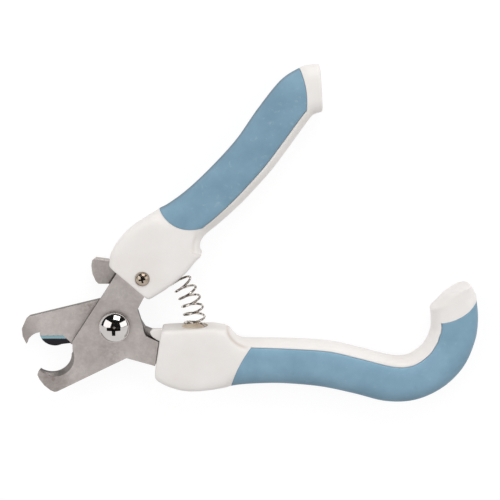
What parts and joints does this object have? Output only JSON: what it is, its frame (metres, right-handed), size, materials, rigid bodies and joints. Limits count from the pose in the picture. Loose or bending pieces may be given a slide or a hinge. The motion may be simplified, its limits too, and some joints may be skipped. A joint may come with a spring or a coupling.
{
  "type": "pet nail clipper",
  "caption": "Plier-type pet nail clipper with two crossed steel blades, a swinging nail guard, a coil return spring and two-colour handles, one of them curled at its end.",
  "frame": {"origin": "on the pivot axis, at the back end face of the pivot screw and its nut", "axes": "+X from the jaws towards the handles, +Y towards the upper handle, +Z along the pivot axis to the front with the screw's head; the clipper lies on its back, opened as it rests on its stop"},
  "size_m": [0.1496, 0.1107, 0.0134],
  "materials": {
    "blade_steel": "satin ground steel",
    "guard_steel": "satin stamped steel",
    "pivot_chrome": "polished chrome",
    "washer_steel": "bright steel",
    "white_plastic": "satin hard plastic, warm white",
    "blue_rubber": "matte soft grip, grey blue",
    "screw_nickel": "brownish nickel",
    "spring_wire": "drawn spring wire"
  },
  "bodies": {
    "upper_half": {"front_blade": "blade_steel", "upper_handle_core": "white_plastic", "upper_handle_grip": "blue_rubber", "upper_tang_screw": "screw_nickel", "pivot_screw": "pivot_chrome", "tooth_washer": "washer_steel", "spring_washer": "washer_steel", "pivot_nut": "washer_steel", "return_spring": "spring_wire"},
    "lower_half": {"rear_blade": "blade_steel", "lower_handle_core": "white_plastic", "lower_handle_grip": "blue_rubber", "lower_tang_screw": "screw_nickel"},
    "guard": {"nail_guard": "guard_steel"}
  },
  "joints": [
    {"name": "squeeze", "type": "hinge", "parent": "upper_half", "child": "lower_half", "pos_m": [0, 0, 0.005], "axis": [0, 0, 1], "range_deg": [0, 23], "stiffness_Nm_per_rad": 0.6, "springref_deg": -20.05, "deforming": ["return_spring"]},
    {"name": "guard_swing", "type": "hinge", "parent": "upper_half", "child": "guard", "pos_m": [0, 0, 0.0032], "axis": [0, 0, 1], "range_deg": [0, 26]}
  ]
}
